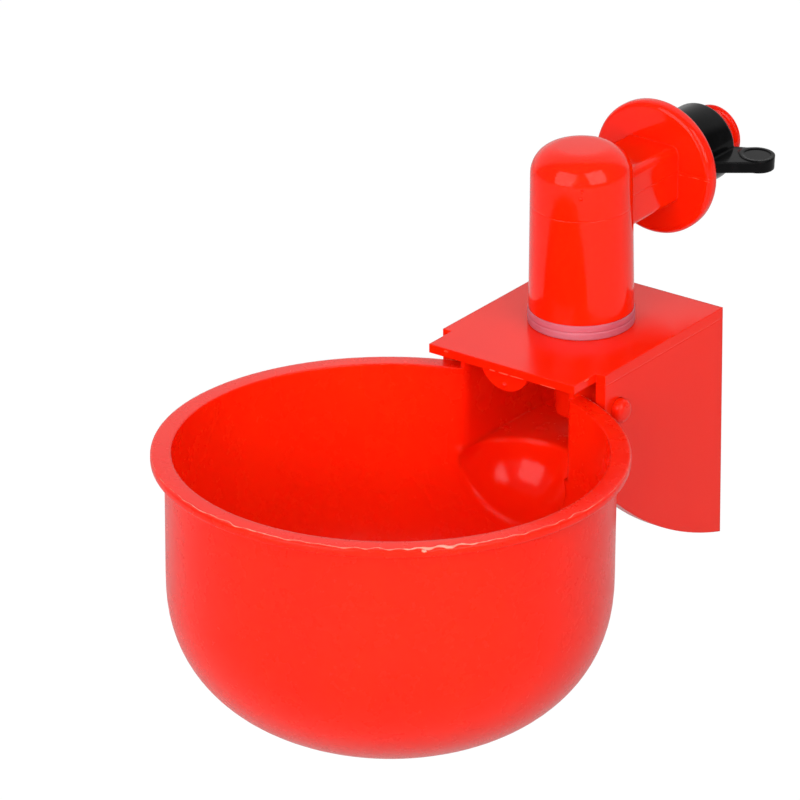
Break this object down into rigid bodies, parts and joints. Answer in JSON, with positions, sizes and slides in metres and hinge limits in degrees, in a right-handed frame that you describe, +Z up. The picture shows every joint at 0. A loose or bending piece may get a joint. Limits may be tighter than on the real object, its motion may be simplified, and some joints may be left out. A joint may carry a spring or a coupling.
{
  "type": "automatic poultry drinking cup",
  "caption": "Round plastic drinking bowl hung on pivot pins in a bracket, with a valve elbow, threaded stub and wing nut for clamping through a wall.",
  "frame": {"origin": "centre of the flange's wall side face, on the axis of the threaded stub", "axes": "+Y along the stub, away from the bowl; +Z up; +X to the right as seen from the bowl"},
  "size_m": [0.08, 0.136, 0.0872],
  "materials": {
    "red_plastic": "glossy moulded red",
    "clear_rubber": "translucent pale silicone",
    "black_plastic": "glossy black",
    "white_plastic": "natural white",
    "dark_rubber": "matt",
    "spring_steel": "bright drawn wire"
  },
  "bodies": {
    "root": {"bracket": "red_plastic", "elbow": "red_plastic", "elbow_gasket": "clear_rubber", "valve_spring": "spring_steel"},
    "cup": {"cup": "red_plastic"},
    "stem": {"valve_stem": "white_plastic", "valve_seal": "dark_rubber"},
    "washer": {"stub_washer": "clear_rubber"},
    "nut": {"wing_nut": "black_plastic"}
  },
  "joints": [
    {"name": "cup_tilt", "type": "hinge", "parent": "root", "child": "cup", "pos_m": [0, -0.0372, -0.0288], "axis": [1, 0, 0], "range_deg": [0, 5], "stiffness_Nm_per_rad": 0.12, "springref_deg": -8.59},
    {"name": "stem_lift", "type": "slide", "parent": "root", "child": "stem", "axis": [0, 0, 1], "range_m": [0, 0.00116], "deforming": ["valve_spring"]},
    {"name": "washer_slide", "type": "slide", "parent": "root", "child": "washer", "axis": [0, 1, 0], "range_m": [0, 0.0045]},
    {"name": "nut_spin", "type": "hinge", "parent": "washer", "child": "nut", "pos_m": [0, 0.0023, 0], "axis": [0, 1, 0], "range_deg": [0, 901]}
  ],
  "couplings": [
    {"joint": "stem_lift", "follows": "cup_tilt", "m_per_rad": 0.0132},
    {"joint": "nut_spin", "follows": "washer_slide", "rad_per_m": 3490.7}
  ]
}
